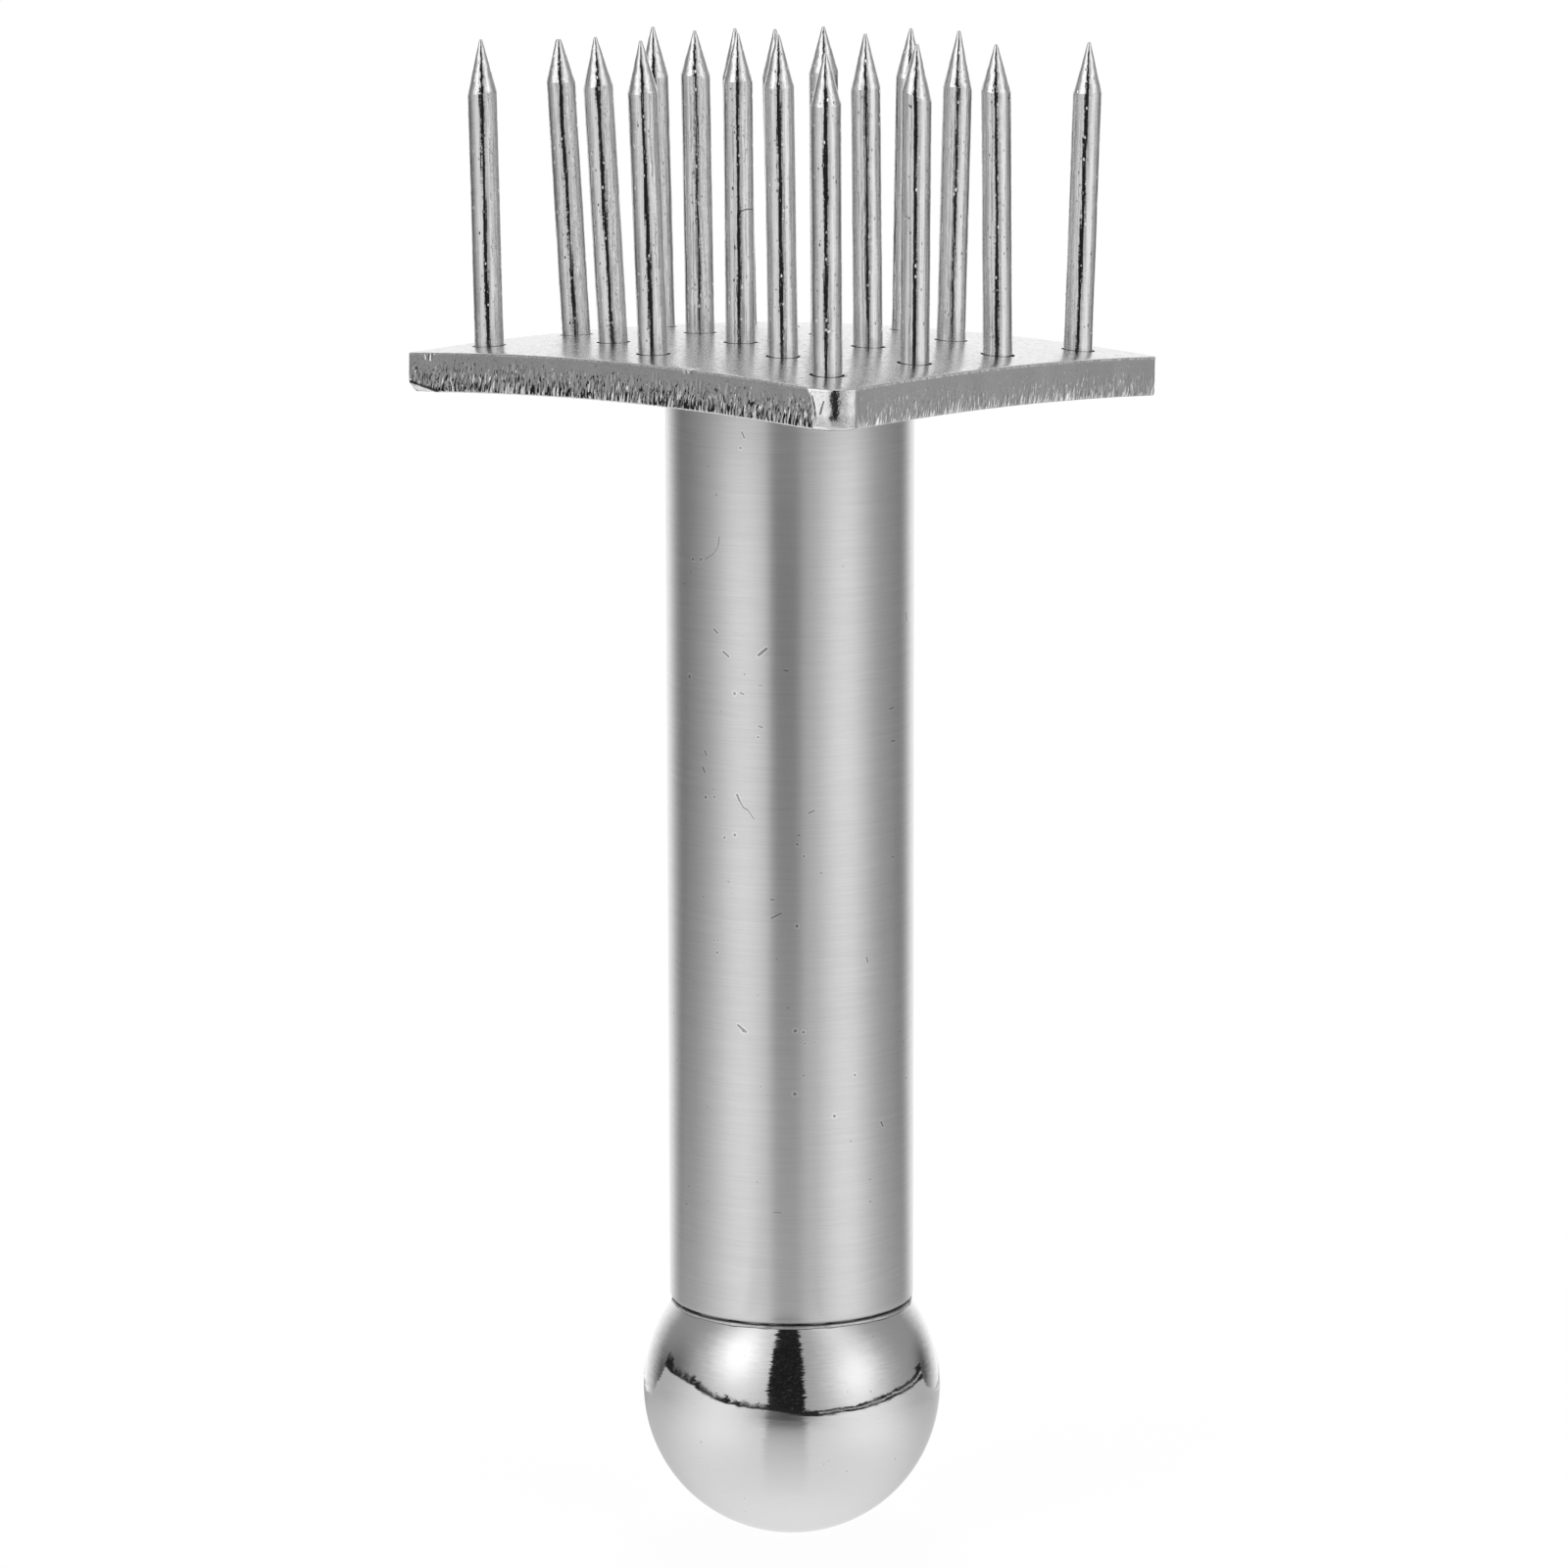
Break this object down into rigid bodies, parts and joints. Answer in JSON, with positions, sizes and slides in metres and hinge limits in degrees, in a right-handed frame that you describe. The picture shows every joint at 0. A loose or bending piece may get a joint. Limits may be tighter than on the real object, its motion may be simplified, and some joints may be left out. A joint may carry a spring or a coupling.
{
  "type": "multi-needle pricker",
  "caption": "Hand pricker: square domed plate set with pointed steel needles in staggered rows, on a brushed tube handle that ends in a hollow polished ball.",
  "frame": {"origin": "lowest point of the ball, on the handle's axis", "axes": "+Z along the handle from the ball to the needle points; X and Y along the edges of the square plate, with the corner that is ground round at +X, -Y"},
  "size_m": [0.0545, 0.0531, 0.1549],
  "materials": {
    "brushed_tube": "fine brushing around the tube, satin",
    "plate_steel": "polished faces, sheared edges with upright cut marks",
    "needle_steel": "drawn bright rod with ground points",
    "mirror_ball": "mirror polish",
    "weld_metal": "as welded, lightly brushed"
  },
  "bodies": {
    "root": {"handle_tube": "brushed_tube", "handle_to_plate_weld": "weld_metal", "needle_plate": "plate_steel", "needle_weld_plugs": "weld_metal", "ball_upper_half": "mirror_ball", "ball_lower_half": "mirror_ball", "ball_seam_weld": "mirror_ball", "ball_neck_weld": "weld_metal", "needle_a1": "needle_steel", "needle_a2": "needle_steel", "needle_a3": "needle_steel", "needle_a4": "needle_steel", "needle_b1": "needle_steel", "needle_b2": "needle_steel", "needle_b3": "needle_steel", "needle_c1": "needle_steel", "needle_c2": "needle_steel", "needle_c3": "needle_steel", "needle_c4": "needle_steel", "needle_d1": "needle_steel", "needle_d2": "needle_steel", "needle_d3": "needle_steel", "needle_e1": "needle_steel", "needle_e2": "needle_steel", "needle_e3": "needle_steel", "needle_e4": "needle_steel"}
  },
  "joints": []
}
